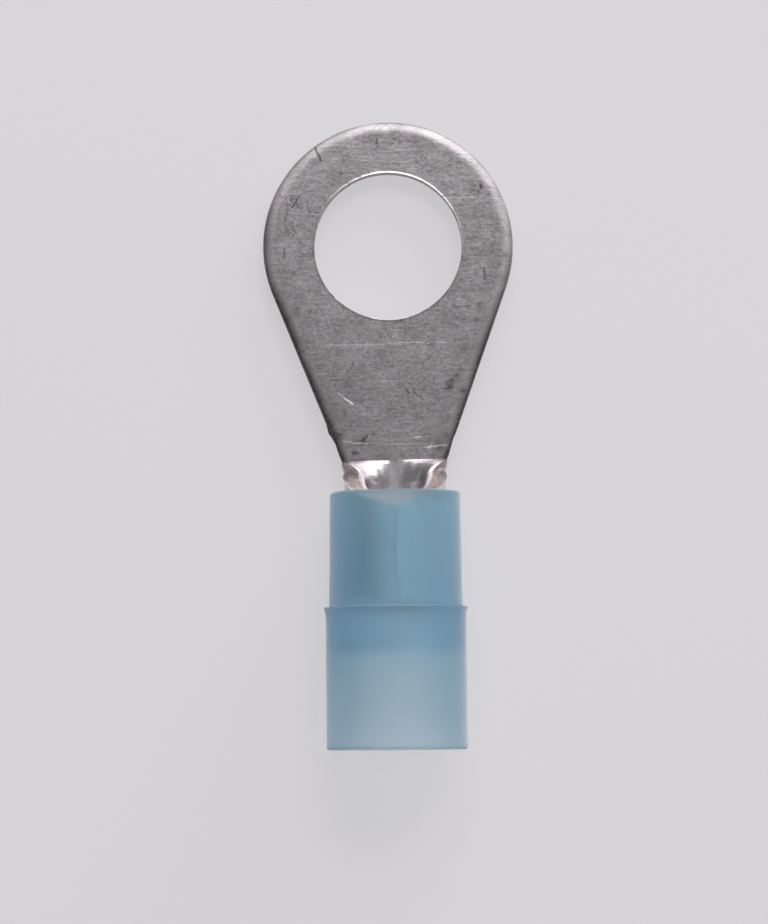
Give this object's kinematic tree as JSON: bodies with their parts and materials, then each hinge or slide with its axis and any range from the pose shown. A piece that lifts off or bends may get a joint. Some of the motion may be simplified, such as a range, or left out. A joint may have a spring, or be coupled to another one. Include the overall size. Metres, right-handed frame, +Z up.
{
  "type": "insulated ring terminal",
  "caption": "Insulated ring terminal: a flat metal ring for a stud and a rolled crimp barrel inside a stepped, translucent nylon sleeve that takes a stranded wire.",
  "frame": {"origin": "centre of the stud hole, on the tongue's lower seating face", "axes": "+Y out of the ring's free end along the terminal, with the wire entering from -Y; +Z up from the seating face, on the side of the barrel's seam; +X across the tongue"},
  "size_m": [0.011, 0.0277, 0.0064],
  "materials": {
    "tinned_copper": "tin-plated copper sheet, dull grey with fine brushing across the tongue, small dark stains, pits and a few scratches; bright pressed rim and sheared edges",
    "blue_nylon": "natural nylon tinted light blue, translucent, smooth and softly glossy; the metal barrel shows through it"
  },
  "bodies": {
    "root": {"terminal": "tinned_copper", "insulating_sleeve": "blue_nylon"}
  },
  "joints": []
}
